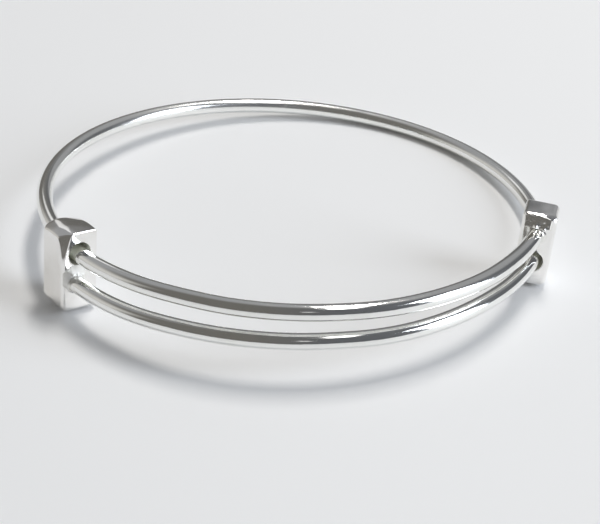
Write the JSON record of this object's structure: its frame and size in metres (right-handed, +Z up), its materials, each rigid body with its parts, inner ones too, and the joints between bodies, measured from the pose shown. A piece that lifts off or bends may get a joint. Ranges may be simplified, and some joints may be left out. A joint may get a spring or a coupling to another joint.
{
  "type": "adjustable wire bangle",
  "caption": "Silver wire bangle whose ends overlap across the front and slide through small drilled blocks, so the loop widens over a hand.",
  "frame": {"origin": "middle of the footprint, on the surface that the bangle lies on", "axes": "+Z up, -Y towards the front where the two strands overlap, +X to the right seen from the front; the loop leans back by about 5 degrees, as it rests by itself"},
  "size_m": [0.069, 0.0694, 0.0116],
  "materials": {
    "silver": "polished"
  },
  "bodies": {
    "root": {"wire_bangle": "silver"}
  },
  "joints": []
}
